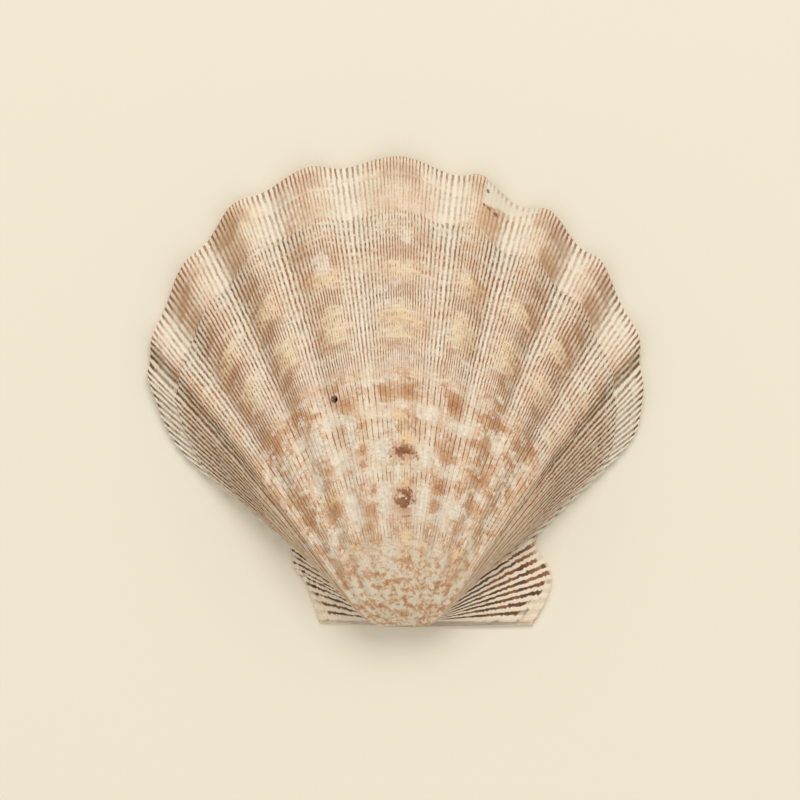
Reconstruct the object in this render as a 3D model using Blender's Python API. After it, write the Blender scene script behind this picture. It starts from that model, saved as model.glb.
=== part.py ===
"""One valve of a broad-ribbed scallop, lying on its rim with its outside up.

A scallop grows by a rule, and the shape follows it. The free edge keeps its form while it gets
larger and swings about the hinge line, so a point of the surface is a point of the final edge,
scaled by a growth ratio from 0 (the beak) to 1 (today's edge) and turned about X by an angle that
goes with the logarithm of that ratio. The ribs, the steep flanks, the creases beside the ears and
the curled beak all come from this one rule.

Sizes are in millimetres, measured from the beak: X along the hinge, Y across the fan, Z up.
"""

import math

import bpy
from mathutils import Matrix, Vector

MM = 0.001

# Edge of the disc, seen from above, every half rib from the left notch to the right notch.
# Whole rib numbers are crests and halves are troughs; rib 0 is the middle one.
LAST_RIB = 6.5
DISC_EDGE = (
    (-18.5, 12.2), (-25.7, 18.2), (-36.2, 27.6), (-41.0, 38.0), (-41.1, 41.9), (-40.7, 45.6),
    (-38.9, 49.9), (-35.8, 57.3), (-31.9, 61.2), (-27.7, 67.2), (-22.6, 69.4), (-15.6, 73.3),
    (-9.5, 73.3), (-0.5, 75.1), (8.2, 72.2), (12.9, 72.0), (18.5, 67.5), (23.9, 66.2),
    (28.5, 60.6), (32.1, 58.1), (35.3, 51.4), (38.2, 45.7), (38.4, 41.2), (38.9, 36.9),
    (37.1, 29.3), (29.2, 20.9), (21.0, 13.0),
)

# Free edges of the two ears, from the hinge corner to the notch and from the notch to the corner.
PLATE_DEPTH = 1.8
LEFT_EAR = ((-13.5, 0.0), (-14.2, PLATE_DEPTH), (-15.2, 4.4), (-16.2, 6.6), (-17.8, 8.6), (-18.1, 10.2))
RIGHT_EAR = ((22.3, 10.9), (23.7, 8.9), (24.2, 7.0), (23.7, 4.8), (22.4, PLATE_DEPTH), (21.0, -0.2))

# Back edge of the hinge, seen from above.
HINGE_BACK = (
    (-13.5, -0.2), (-10.2, -0.4), (-5.3, -0.7), (-2.5, -0.9), (0.0, -1.0),
    (3.0, -1.0), (8.0, -0.9), (14.0, -0.8), (21.0, -0.6),
)

# Growth: how fast the shell swings about the hinge, how much faster its flanks did so while it
# was small (less inside, where the wall has thickened), the swing that the beak levels off at, how
# abruptly it does, and where the surfaces stop at the beak.
CURL_MIDDLE = 0.66
CURL_SIDE = 0.52
EARLY_OUTSIDE = 0.14
EARLY_INSIDE = 0.06
LAST_SWING = 1.75
LEVELLING = 8.0
BEAK_RATIO = 0.05
HOLLOW_RATIO = 0.12

# Wall: its height at the edge and at the back of the hinge, and how far the inner edge is set in.
EDGE_HEIGHT = 1.2
HINGE_HEIGHT = 0.8
EDGE_INSET = 0.9

# Ribs: height from trough to crest at the edge, and how broad the crests are.
RIB_HEIGHT = 2.0
CREST_POWER = 0.75
INSIDE_SHARE = 0.85

# Growth stops: the ratio at which growth paused, and how deep the step is outside it.
GROWTH_STOPS = ((0.885, 0.40), (0.73, 0.25), (0.62, 0.22))
STEP_FADE = 0.04
STEP_ROW_GAP = 0.005

# Spalled patch at the edge between ribs 1 and 2.
SPALL_RIB = 1.5
SPALL_HALF_WIDTH = 0.5
SPALL_RATIO = 0.955
SPALL_DEPTH = 0.35

# Hole bored by a snail, right through the wall.
BORE_AT = (-10.9, 35.8)
BORE_RADIUS = 0.55
BORE_TOP = 22.0
BORE_LENGTH = 14.0
BORE_SIDES = 12

# Fineness of the faceted surface, and how near two places on an ear count as the same.
STEPS_PER_RIB = 8
OUTSIDE_ROWS = 25
INSIDE_ROWS = 12
ROW_POWER = 1.35
SHARP_ANGLE = math.radians(40.0)
CLOSE = 0.01


def smooth_step(value, low, high):
    share = min(max((value - low) / (high - low), 0.0), 1.0)
    return share * share * (3.0 - 2.0 * share)


def disc_point(rib):
    """Place of the disc's edge at a rib number, on a smooth curve through DISC_EDGE."""
    step = (rib + LAST_RIB) * 2.0
    last = len(DISC_EDGE) - 1
    start = min(int(step), last - 1)
    share = step - start
    before, here, there, after = (
        Vector(DISC_EDGE[min(max(start + offset, 0), last)]) for offset in (-1, 0, 1, 2)
    )
    slope_here = (there - before) * 0.5
    slope_there = (after - here) * 0.5
    square = share * share
    cube = square * share
    return (
        here * (2.0 * cube - 3.0 * square + 1.0)
        + slope_here * (cube - 2.0 * square + share)
        + there * (3.0 * square - 2.0 * cube)
        + slope_there * (cube - square)
    )


def rib_rise(rib):
    """Height of the edge above its troughs; the ribs fade out on the flanks."""
    wave = (0.5 + 0.5 * math.cos(2.0 * math.pi * rib)) ** CREST_POWER
    return RIB_HEIGHT * wave * (1.0 - smooth_step(abs(rib), 3.5, 6.0))


def swing(rib, ratio, early):
    """Turn about the hinge line since the shell had this ratio of its size."""
    age = math.log(1.0 / ratio)
    side = smooth_step(abs(rib), 1.5, 5.5)
    curl = CURL_MIDDLE + (CURL_SIDE - CURL_MIDDLE) * side + early * side * age
    turn = curl * age
    turn /= (1.0 + (turn / LAST_SWING) ** LEVELLING) ** (1.0 / LEVELLING)
    return Matrix.Rotation(turn, 3, 'X')


def outer_columns():
    """Rib number and edge point of each line that runs from the edge to the beak."""
    columns = [(-LAST_RIB - 1.0, Vector((x, y, 0.0))) for x, y in LEFT_EAR]
    count = int(2.0 * LAST_RIB * STEPS_PER_RIB)
    for index in range(count + 1):
        rib = -LAST_RIB + index / STEPS_PER_RIB
        x, y = disc_point(rib)
        columns.append((rib, Vector((x, y, rib_rise(rib)))))
    columns += [(LAST_RIB + 1.0, Vector((x, y, 0.0))) for x, y in RIGHT_EAR]
    return columns


def inward(points):
    """Level directions into the outline that the points follow clockwise."""
    directions = []
    for index in range(len(points)):
        before = points[max(index - 1, 0)]
        after = points[min(index + 1, len(points) - 1)]
        along = (after - before).to_2d().normalized()
        directions.append(Vector((along.y, -along.x, 0.0)))
    return directions


def inner_columns(columns):
    """Rib number, edge point and inset of the hollow's lines, measured from the front of the plate."""
    directions = inward([point for rib, point in columns])
    inner = []
    for index, (rib, point) in enumerate(columns):
        on_ear = abs(rib) > LAST_RIB
        edge = Vector((point.x, point.y - PLATE_DEPTH, point.z * INSIDE_SHARE))
        inset = directions[index] * EDGE_INSET
        if on_ear and edge.y < -CLOSE:
            continue
        if not on_ear and (index - len(LEFT_EAR)) % 2:
            continue
        if on_ear and edge.y < CLOSE:
            edge.y = 0.0
            inset.y = 0.0
        inner.append((rib, edge, inset))
    return inner


def growth_ratios(rows, smallest):
    """Ratios from the edge to the beak, closer together near the beak."""
    return [smallest + (1.0 - smallest) * (1.0 - row / rows) ** ROW_POWER for row in range(rows + 1)]


def step_depth(ratio):
    """How far the surface lies below its smooth course just outside a growth stop."""
    depth = 0.0
    for stop, drop in GROWTH_STOPS:
        if ratio > stop:
            depth += drop * math.exp((stop - ratio) / STEP_FADE)
    return depth


def spall_depth(rib, ratio):
    across = 1.0 - smooth_step(abs(rib - SPALL_RIB), 0.6 * SPALL_HALF_WIDTH, SPALL_HALF_WIDTH)
    return SPALL_DEPTH * across * smooth_step(ratio, SPALL_RATIO, SPALL_RATIO + 0.02)


def outside_grid():
    """Columns of points over the outside, each from the edge to the beak."""
    columns = outer_columns()
    ratios = set(growth_ratios(OUTSIDE_ROWS, BEAK_RATIO))
    for stop, drop in GROWTH_STOPS:
        ratios |= {stop, stop + STEP_ROW_GAP}
    ratios = sorted(ratios, reverse=True)
    smooth = []
    for rib, edge in columns:
        smooth.append([swing(rib, ratio, EARLY_OUTSIDE) @ (edge * ratio) for ratio in ratios])
    grid = []
    for index, (rib, edge) in enumerate(columns):
        left = smooth[max(index - 1, 0)]
        right = smooth[min(index + 1, len(smooth) - 1)]
        line = []
        for row, ratio in enumerate(ratios):
            outward = smooth[index][max(row - 1, 0)] - smooth[index][min(row + 1, len(ratios) - 1)]
            normal = (right[row] - left[row]).cross(outward).normalized()
            depth = ratio * step_depth(ratio) + spall_depth(rib, ratio)
            lift = Vector((0.0, 0.0, EDGE_HEIGHT))
            line.append(smooth[index][row] - normal * depth + lift)
        grid.append(line)
    return grid


def hollow_grid():
    """Columns of points over the hollow, each from the edge to the umbo."""
    ratios = growth_ratios(INSIDE_ROWS, HOLLOW_RATIO)
    front = Vector((0.0, PLATE_DEPTH, 0.0))
    grid = []
    for rib, edge, inset in inner_columns(outer_columns()):
        line = []
        for ratio in ratios:
            point = edge * ratio + inset * math.sqrt(ratio)
            line.append(front + swing(rib, ratio, EARLY_INSIDE) @ point)
        grid.append(line)
    return grid


class ShellMesh:
    """Collects points and faces for one closed mesh."""

    def __init__(self):
        self.points = []
        self.faces = []

    def add(self, points):
        start = len(self.points)
        self.points += [tuple(point) for point in points]
        return list(range(start, len(self.points)))

    def grid(self, columns, tip, flip):
        """Faces between neighbouring columns, closed by a fan at the tip."""
        for left, right in zip(columns, columns[1:]):
            quads = list(zip(left, right, right[1:], left[1:]))
            self.faces += [tuple(reversed(quad)) if flip else quad for quad in quads]
            fan = (left[-1], right[-1], tip)
            self.faces.append(tuple(reversed(fan)) if flip else fan)

    def strip(self, first, second):
        """Triangles between two chains of points, in step with each chain's length."""
        first_at = self.shares(first)
        second_at = self.shares(second)
        i = 0
        j = 0
        while i < len(first) - 1 or j < len(second) - 1:
            first_next = first_at[i + 1] if i < len(first) - 1 else math.inf
            second_next = second_at[j + 1] if j < len(second) - 1 else math.inf
            if first_next <= second_next:
                self.faces.append((first[i], first[i + 1], second[j]))
                i += 1
            else:
                self.faces.append((first[i], second[j + 1], second[j]))
                j += 1

    def shares(self, chain):
        """Share of the chain's length that each of its points has reached."""
        lengths = [0.0]
        for start, end in zip(chain, chain[1:]):
            lengths.append(lengths[-1] + (Vector(self.points[end]) - Vector(self.points[start])).length)
        return [length / lengths[-1] for length in lengths]


def build_shell():
    """The closed wall: outside, rim, hollow, hinge plate and back of the hinge."""
    shell = ShellMesh()
    outside = [shell.add(line) for line in outside_grid()]
    beak = shell.add([(0.0, 0.0, EDGE_HEIGHT)])[0]
    hollow = [shell.add(line) for line in hollow_grid()]
    umbo = shell.add([(0.0, PLATE_DEPTH, 0.0)])[0]
    back_top = shell.add([(x, y, HINGE_HEIGHT) for x, y in HINGE_BACK])
    back_foot = shell.add([(x, y, 0.0) for x, y in HINGE_BACK])

    shell.grid(outside, beak, flip=True)
    shell.grid(hollow, umbo, flip=False)

    outer_edge = [back_top[0]] + [line[0] for line in outside] + [back_top[-1]]
    inner_edge = [back_foot[0]] + [line[0] for line in hollow] + [back_foot[-1]]
    shell.strip(outer_edge, inner_edge)

    hinge_top = outside[0] + [beak] + outside[-1][::-1]
    plate_front = hollow[0] + [umbo] + hollow[-1][::-1]
    shell.strip(back_top, hinge_top)
    shell.strip(back_foot, back_top)
    shell.strip(plate_front, back_foot)
    return shell


def shell_material():
    material = bpy.data.materials.new("ribbed_shell")
    material.use_nodes = True
    surface = material.node_tree.nodes["Principled BSDF"]
    surface.inputs["Base Color"].default_value = (0.60, 0.45, 0.33, 1.0)
    surface.inputs["Roughness"].default_value = 0.55
    surface.inputs["Metallic"].default_value = 0.0
    return material


def add_valve(parent):
    shell = build_shell()
    mesh = bpy.data.meshes.new("valve")
    scaled = [(x * MM, y * MM, z * MM) for x, y, z in shell.points]
    mesh.from_pydata(scaled, [], shell.faces)
    mesh.update()
    mesh.shade_smooth()
    mesh.set_sharp_from_angle(angle=SHARP_ANGLE)
    mesh.materials.append(shell_material())
    valve = bpy.data.objects.new("valve", mesh)
    bpy.context.scene.collection.objects.link(valve)
    valve.parent = parent
    return valve


def add_bore(valve):
    """A snail's bore hole, cut straight down through the wall."""
    bpy.ops.mesh.primitive_cylinder_add(
        vertices=BORE_SIDES, radius=BORE_RADIUS * MM, depth=BORE_LENGTH * MM,
        location=(BORE_AT[0] * MM, BORE_AT[1] * MM, (BORE_TOP - BORE_LENGTH / 2.0) * MM),
    )
    cutter = bpy.context.active_object
    cutter.name = "bore_cutter"
    cutter.parent = valve
    cutter.hide_render = True
    cutter.display_type = 'WIRE'
    cut = valve.modifiers.new("bore", 'BOOLEAN')
    cut.operation = 'DIFFERENCE'
    cut.solver = 'EXACT'
    cut.object = cutter


def centre_over_origin(parent, mesh):
    """Put the beak where the middle of the valve's outline comes over the origin."""
    xs = [vertex.co.x for vertex in mesh.vertices]
    ys = [vertex.co.y for vertex in mesh.vertices]
    parent.location = (-(min(xs) + max(xs)) / 2.0, -(min(ys) + max(ys)) / 2.0, 0.0)


def main():
    for old in list(bpy.data.objects):
        bpy.data.objects.remove(old, do_unlink=True)
    beak = bpy.data.objects.new("beak", None)
    bpy.context.scene.collection.objects.link(beak)
    valve = add_valve(beak)
    add_bore(valve)
    centre_over_origin(beak, valve.data)


main()
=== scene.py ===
"""Dressed model of one broad-ribbed scallop valve, seen from straight above on a pale floor.

Outside, rim, hollow and hinge plate are one closed skin. Each of its points keeps a point of the
shell's edge and a growth ratio, and a node tree grows the shell from them: it scales the edge
point, swings it about the hinge line, and cuts the threads, growth steps and spalled patch.
"""

import math

import bpy
import numpy as np
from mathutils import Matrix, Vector, kdtree


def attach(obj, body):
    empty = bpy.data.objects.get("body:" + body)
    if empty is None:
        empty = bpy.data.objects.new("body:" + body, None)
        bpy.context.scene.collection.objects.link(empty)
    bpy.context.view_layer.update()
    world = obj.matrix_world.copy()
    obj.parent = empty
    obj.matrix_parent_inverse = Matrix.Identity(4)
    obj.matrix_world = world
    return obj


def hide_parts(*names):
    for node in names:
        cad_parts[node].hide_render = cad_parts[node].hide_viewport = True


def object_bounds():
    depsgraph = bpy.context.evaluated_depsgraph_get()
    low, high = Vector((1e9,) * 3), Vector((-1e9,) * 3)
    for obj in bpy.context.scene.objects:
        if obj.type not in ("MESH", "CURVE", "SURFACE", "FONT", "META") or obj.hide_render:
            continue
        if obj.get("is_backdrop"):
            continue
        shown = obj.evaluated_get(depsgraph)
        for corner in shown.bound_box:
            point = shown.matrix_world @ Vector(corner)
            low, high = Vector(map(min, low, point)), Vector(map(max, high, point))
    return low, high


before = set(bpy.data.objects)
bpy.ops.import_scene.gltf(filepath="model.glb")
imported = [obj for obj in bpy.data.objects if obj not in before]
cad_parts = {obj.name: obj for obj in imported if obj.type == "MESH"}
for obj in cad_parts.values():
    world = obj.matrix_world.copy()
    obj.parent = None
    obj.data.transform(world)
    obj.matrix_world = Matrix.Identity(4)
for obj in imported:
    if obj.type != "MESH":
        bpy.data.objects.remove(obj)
CAD_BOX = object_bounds()

bl_info = {
    "name": "Scallop Valve",
    "version": (1, 0, 0),
    "blender": (4, 5, 0),
    "location": "View3D > Sidebar > Scallop",
    "description": "Grows a ribbed scallop valve, colours it and lights it from above",
    "category": "Object",
}

MM = 0.001

# Edge of the disc from the left notch to the right notch, every half rib, in mm from the beak.
LAST_RIB = 6.5
DISC_EDGE = (
    (-18.5, 12.2), (-25.7, 18.2), (-36.2, 27.6), (-41.0, 38.0), (-41.1, 41.9), (-40.7, 45.6),
    (-38.9, 49.9), (-35.8, 57.3), (-31.9, 61.2), (-27.7, 67.2), (-22.6, 69.4), (-15.6, 73.3),
    (-9.5, 73.3), (-0.5, 75.1), (8.2, 72.2), (12.9, 72.0), (18.5, 67.5), (23.9, 66.2),
    (28.5, 60.6), (32.1, 58.1), (35.3, 51.4), (38.2, 45.7), (38.4, 41.2), (38.9, 36.9),
    (37.1, 29.3), (29.2, 20.9), (21.0, 13.0),
)

# Free edges of the ears from the hinge corner to the notch, and the back of the hinge.
PLATE_DEPTH = 1.8
LEFT_EAR = ((-13.5, 0.0), (-14.2, 1.8), (-15.2, 4.4), (-16.2, 6.6), (-17.8, 8.6), (-18.1, 10.2))
RIGHT_EAR = ((21.0, -0.2), (22.4, 1.8), (23.7, 4.8), (24.2, 7.0), (23.7, 8.9), (22.3, 10.9))
HINGE_BACK = (
    (-13.5, -0.2), (-10.2, -0.4), (-5.3, -0.7), (-2.5, -0.9), (0.0, -1.0),
    (3.0, -1.0), (8.0, -0.9), (14.0, -0.8), (21.0, -0.6),
)
EDGE_HEIGHT = 1.2
HINGE_HEIGHT = 0.8
EDGE_INSET = 0.9
CREST_POWER = 0.75
INSIDE_SHARE = 0.85
EDGE_SAMPLES = 5201
OUTLINE_SAMPLES = 521

# Rows that turn the edge under: inset in mm, and shares of edge height, rib height and finish.
RIM_ROWS = ((0.12, 0.62, 0.96, 0.8), (0.45, 0.2, 0.9, 0.35))

# Rows down the back of the hinge: height and inset in mm, and share of the outer finish.
HINGE_ROWS = ((HINGE_HEIGHT, 0.0, 0.7), (0.45, -0.03, 0.4), (0.0, 0.06, 0.0))
HINGE_POINTS = 72

# Growth stops: ratio, depth of the step outside it in mm, and over what ratio it fades.
GROWTH_STOPS = ((0.885, 0.40), (0.73, 0.25), (0.62, 0.22))
STEP_FADE = 0.04
LUMP_DEPTH = 0.22

# How abruptly the swing levels off at the beak.
LEVELLING = 8.0

# Threads: spacing across them in mm in the troughs, on the crests of ribs 0 to 3, on the flanks.
TROUGH_PITCH = 0.92
CREST_PITCHES = (0.52, 0.64, 0.64, 0.8)
FLANK_PITCH = 0.76
RADIAL_SHARE = 0.12
LINES_PER_THREAD = 4
EAR_STRIPES = 9.5
EAR_BUNCHING = 0.24
EAR_LINES = 40
EAR_SAMPLES = 600

# Ratios between which threads join in pairs towards the beak, and join once more.
FIRST_JOIN = (0.44, 0.66)
SECOND_JOIN = (0.2, 0.34)

# Spalled patch: its ribs, the ratios between which it starts, and how that start slants.
SPALL_RIBS = (1.07, 1.85)
SPALL_START = (0.945, 0.95)
SPALL_CORNER = 1.1
SPALL_SLANT = 0.055

# Ratios at which the lines of points thin out towards the beak, with the rows between them.
BANDS = ((1.0, 0.5, 58, 1), (0.495, 0.22, 36, 2), (0.216, 0.05, 24, 4))
HOLLOW_ROWS = 36
HOLLOW_RATIO = 0.12
HOLLOW_CROWDING = 1.3
STOP_ROWS = (-0.004, 0.004)

# Hole bored by a snail, square to the wall: place from the beak and the cone that cuts it, in mm.
BORE_AT = (-10.9, 35.8)
BORE_WIDE = 0.8
BORE_NARROW = 0.28
BORE_LENGTH = 6.0
BORE_SUNK = 1.0
BORE_SIDES = 40
BORE_SEEN_FROM = 0.1
SAME_POINT = 1e-7

# Colour bands follow the growth: ratio of a clear growth stop, and bands for each unit of age.
FIRST_STOP = GROWTH_STOPS[0][0]
BANDS_PER_AGE = 14.0

# Growth rows, as middle ratio and half width: troughs bare, threads clear, crests with red dashes,
# outer sides of the ribs tan, crests pale yellow, and threads dark on a pale ground.
BARE_ROWS = ((0.512, 0.013), (0.436, 0.02), (0.348, 0.03))
THREAD_ROWS = ((0.548, 0.018), (0.478, 0.018), (0.395, 0.011), (0.295, 0.015))
DASH_ROWS = ((0.81, 0.02), (0.728, 0.016), (0.63, 0.012))
TAN_ROWS = ((0.922, 0.034), (0.765, 0.024), (0.66, 0.03), (0.545, 0.02))
HONEY_ROWS = ((0.768, 0.016), (0.672, 0.03))
CLEAR_ROWS = ((0.603, 0.016), (0.832, 0.014), (0.722, 0.01))

# Single marks on the outside, as rib, ratio, and half sizes in ribs and in ratio.
WORN_PLACES = (
    (-1.05, 0.8, 0.14, 0.025), (0.06, 0.83, 0.08, 0.012), (-1.12, 0.475, 0.12, 0.045),
    (-0.42, 0.442, 0.28, 0.024), (0.52, 0.437, 0.28, 0.021), (0.62, 0.365, 0.3, 0.027),
    (-0.43, 0.366, 0.22, 0.016), (1.93, 0.356, 0.3, 0.024), (-2.04, 0.487, 0.32, 0.04),
    (2.31, 0.527, 0.2, 0.012), (-3.2, 0.305, 0.3, 0.012), (2.67, 0.411, 0.1, 0.01),
    (-0.55, 0.565, 0.3, 0.008), (0.06, 0.521, 0.1, 0.008), (2.2, 0.596, 0.14, 0.009),
    (3.45, 0.304, 0.24, 0.012),
)
RUST_PLACES = (
    (0.06, 0.439, 0.23, 0.011), (0.08, 0.352, 0.2, 0.021),
)
AMBER_PLACES = (
    (0.1, 0.547, 0.13, 0.012), (1.19, 0.54, 0.26, 0.012), (2.35, 0.555, 0.28, 0.016),
    (-1.13, 0.525, 0.15, 0.013), (-0.3, 0.548, 0.07, 0.008), (-0.9, 0.445, 0.14, 0.01),
    (-0.95, 0.42, 0.14, 0.009), (1.2, 0.448, 0.28, 0.017), (-0.9, 0.338, 0.28, 0.016),
    (1.12, 0.351, 0.22, 0.016), (1.15, 0.386, 0.26, 0.012), (2.45, 0.374, 0.28, 0.019),
    (3.54, 0.576, 0.17, 0.012), (-3.2, 0.43, 0.22, 0.012), (-2.33, 0.364, 0.38, 0.02),
    (-3.3, 0.39, 0.32, 0.014), (-0.71, 0.374, 0.18, 0.01), (2.7, 0.25, 0.4, 0.018),
    (-3.2, 0.272, 0.4, 0.015), (3.54, 0.459, 0.15, 0.014), (2.44, 0.433, 0.32, 0.02),
    (2.2, 0.5, 0.24, 0.014), (-3.1, 0.56, 0.2, 0.02), (-2.3, 0.56, 0.16, 0.014),
)
HONEY_PLACES = (
    (0.1, 0.462, 0.17, 0.009), (0.1, 0.383, 0.18, 0.009), (0.1, 0.287, 0.26, 0.012),
    (-2.14, 0.286, 0.32, 0.012), (2.6, 0.287, 0.36, 0.014), (-2.17, 0.385, 0.24, 0.01),
    (-0.05, 0.502, 0.14, 0.009),
)
# Small pits in the spalled patch, which have no depth in the mesh: dark spots are painted there as
# their shade
PIT_SHADOWS = (
    (1.1, 0.943, 0.022, 0.0035), (1.175, 0.943, 0.024, 0.004),
    (1.27, 0.9435, 0.03, 0.005), (1.12, 0.977, 0.025, 0.004),
)

# The photograph's frame: width at the shell, and its middle as seen from the beak.
FRAME_WIDTH = 129.0
FRAME_FROM_BEAK = (-0.5, 35.7)
LENS = 200.0
SENSOR = 36.0

# Floor and lamp, in metres.
FLOOR_SIZE = 3.0
FLOOR_GAP = 0.0001
KEY_PLACE = (0.1, 0.9, 1.4)
KEY_SIZE = 1.0
KEY_TINT = (1.0, 0.97, 0.92)
SKY_TINT = (1.0, 0.985, 0.96, 1.0)

SHARP_ANGLE = math.radians(70.0)


def linear(red, green, blue):
    """A colour given from 0 to 255 as it shows on a screen, as linear light."""
    return tuple((value / 255.0) ** 2.2 for value in (red, green, blue))


def colour(name, words, value):
    return bpy.props.FloatVectorProperty(
        name=name, description=words, subtype='COLOR', size=3, min=0.0, max=1.0, default=value
    )


def number(name, words, value, **more):
    return bpy.props.FloatProperty(name=name, description=words, default=value, **more)


class ShellForm(bpy.types.PropertyGroup):
    """Sizes that give the valve its form."""

    curl_middle: number("Curl in the middle", "How fast the middle of the fan swings over", 0.66)
    last_swing: number("Last swing", "Swing that the beak levels off at", 1.75, unit='ROTATION')
    curl_side: number("Curl at the sides", "How fast the flanks and ears swing over", 0.52)
    early_outside: number("Early curl outside", "Extra curl of the flanks while small", 0.14)
    early_inside: number("Early curl inside", "The same for the hollow, whose wall thickened", 0.06)
    rib_height: number("Rib height", "Height from trough to crest at the edge", 2.0 * MM, unit='LENGTH')
    thread_depth: number("Thread depth", "Depth of a groove as a share of the thread spacing", 0.16)
    thread_wander: number("Thread wander", "How far a thread strays sideways", 0.34 * MM, unit='LENGTH')
    step_depth: number("Step depth", "Depth of the growth steps as a share of their full depth", 1.0)
    spall_depth: number("Spall depth", "Depth of the spalled patch", 0.3 * MM, unit='LENGTH')
    seed: number("Seed", "Picks the random details", 3.0)


class ShellColours(bpy.types.PropertyGroup):
    """Colours of the valve."""

    cream: colour("Cream", "Threads of the outside", linear(241, 229, 206))
    rose: colour("Rose", "Warmer threads", linear(232, 206, 177))
    groove: colour("Groove", "Grooves between threads", linear(110, 78, 46))
    groove_red: colour("Red groove", "Grooves on the ribs", linear(156, 103, 68))
    honey: colour("Honey", "Pale yellow patches on the crests", linear(236, 213, 174))
    tan: colour("Tan", "Soft patches on the ribs", linear(216, 184, 146))
    amber: colour("Amber", "Warm patches on the ribs", linear(204, 154, 106))
    brick: colour("Brick", "Red-brown mottling of the warm patches", linear(176, 112, 72))
    rust: colour("Rust", "Strong patches near the beak", linear(122, 62, 12))
    yolk: colour("Yolk", "Bright yellow spots near the beak", linear(238, 202, 150))
    # This brown is laid as painted shade on the outer sides of the ribs and on the lower flanks, partly
    # the shell's own tint there, and also colours the fine grain
    smear: colour("Smear", "Brown shade on the outer side of the ribs", linear(168, 134, 96))
    chalk: colour("Chalk", "Worn patches", linear(228, 218, 198))
    beak: colour("Beak", "Worn surface by the beak", linear(230, 212, 180))
    ear: colour("Ear", "Ground of the ears", linear(244, 228, 201))
    stripe: colour("Stripe", "Stripes of the ears", linear(98, 64, 42))
    inside: colour("Inside", "The hollow", linear(240, 230, 216))
    inside_stain: colour("Inside stain", "Stain along the edge of the hollow", linear(206, 168, 138))


class StageLook(bpy.types.PropertyGroup):
    """Floor and light."""

    floor: colour("Floor", "Colour of the floor", linear(241, 233, 214))
    key: number("Key light", "Power of the large lamp", 11.5, unit='POWER')
    sky: number("Sky", "Strength of the light all round", 0.67)


# Sums on node sockets


class Wire:
    """An output of a node that can be used in ordinary sums."""

    def __init__(self, bench, socket):
        self.bench = bench
        self.socket = socket

    def __add__(self, other):
        return self.bench.math('ADD', self, other)

    def __sub__(self, other):
        return self.bench.math('SUBTRACT', self, other)

    def __rsub__(self, other):
        return self.bench.math('SUBTRACT', other, self)

    def __mul__(self, other):
        return self.bench.math('MULTIPLY', self, other)

    def __truediv__(self, other):
        return self.bench.math('DIVIDE', self, other)

    def __pow__(self, other):
        return self.bench.math('POWER', self, other)

    def __abs__(self):
        return self.bench.math('ABSOLUTE', self)

    __radd__ = __add__
    __rmul__ = __mul__


class Bench:
    """Adds nodes to one tree."""

    def __init__(self, tree):
        self.tree = tree

    def node(self, kind, settings=None, values=None, output=0):
        """A node with its settings made first, then the values or links of its sockets."""
        node = self.tree.nodes.new(kind)
        for name, value in (settings or {}).items():
            setattr(node, name, value)
        for socket, value in (values or {}).items():
            if isinstance(value, Wire):
                self.tree.links.new(value.socket, node.inputs[socket])
            else:
                node.inputs[socket].default_value = value
        return Wire(self, node.outputs[output])

    def math(self, operation, *values):
        return self.node('ShaderNodeMath', {"operation": operation}, dict(enumerate(values)))

    def vector(self, operation, *values):
        return self.node('ShaderNodeVectorMath', {"operation": operation}, dict(enumerate(values)))

    def scale(self, vector, factor):
        return self.node('ShaderNodeVectorMath', {"operation": 'SCALE'}, {0: vector, "Scale": factor})

    def attribute(self, name):
        return self.node('ShaderNodeAttribute', {"attribute_name": name}, output=2)

    def turn(self, axis, vector, angle):
        values = {"Vector": vector, "Angle": angle}
        return self.node('ShaderNodeVectorRotate', {"rotation_type": axis}, values)

    def smooth(self, value, low, high):
        """0 below low, 1 above high, and a soft step between them."""
        values = {"Value": value, "From Min": low, "From Max": high}
        return self.node('ShaderNodeMapRange', {"interpolation_type": 'SMOOTHSTEP'}, values)

    def between(self, value, low, high, soft):
        """1 between low and high and 0 outside them."""
        above = self.smooth(value, low - soft, low + soft)
        return above * (1.0 - self.smooth(value, high - soft, high + soft))

    def wave(self, value):
        """1 at whole numbers and 0 halfway between them."""
        return 0.5 + 0.5 * self.math('COSINE', value * (2.0 * math.pi))

    def place(self, x, y, z=0.0):
        return self.node('ShaderNodeCombineXYZ', None, {"X": x, "Y": y, "Z": z})

    def noise(self, vector, size, detail=2.0, roughness=0.5):
        """Cloudy noise around 0.5; size is how many clouds fit in one unit."""
        values = {"Vector": vector, "Scale": size, "Detail": detail, "Roughness": roughness}
        return self.node('ShaderNodeTexNoise', None, values)

    def clouds(self, fields, detail=2.0, roughness=0.5):
        """Noise whose place is given by two or three fields, with one cloud to the unit."""
        return self.noise(self.place(*fields), 1.0, detail, roughness)

    def most(self, first, second):
        return self.math('MAXIMUM', first, second)

    def blend(self, factor, first, second):
        """The first colour, turning into the second as the factor goes from 0 to 1."""
        colours = [value if isinstance(value, Wire) else (*value, 1.0) for value in (first, second)]
        values = {0: factor, 6: colours[0], 7: colours[1]}
        return self.node('ShaderNodeMix', {"data_type": 'RGBA'}, values, output=2)


def groove_wave(bench, thread, ratio):
    """1 in the middle of a groove and 0 on a thread; towards the beak threads join in pairs."""
    wave = 0.5 - 0.5 * bench.math('COSINE', thread * (2.0 * math.pi))
    second = 0.5 + 0.5 * bench.math('COSINE', (thread - 0.5) * math.pi)
    fourth = 0.5 + 0.5 * bench.math('COSINE', (thread - 0.5) * (0.5 * math.pi))
    all_kept = bench.smooth(ratio, *FIRST_JOIN)
    half_kept = bench.smooth(ratio, *SECOND_JOIN)
    kept = all_kept + (1.0 - all_kept) * second ** 2.0
    kept = kept * (half_kept + (1.0 - half_kept) * fourth ** 2.0)
    return wave * kept


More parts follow.
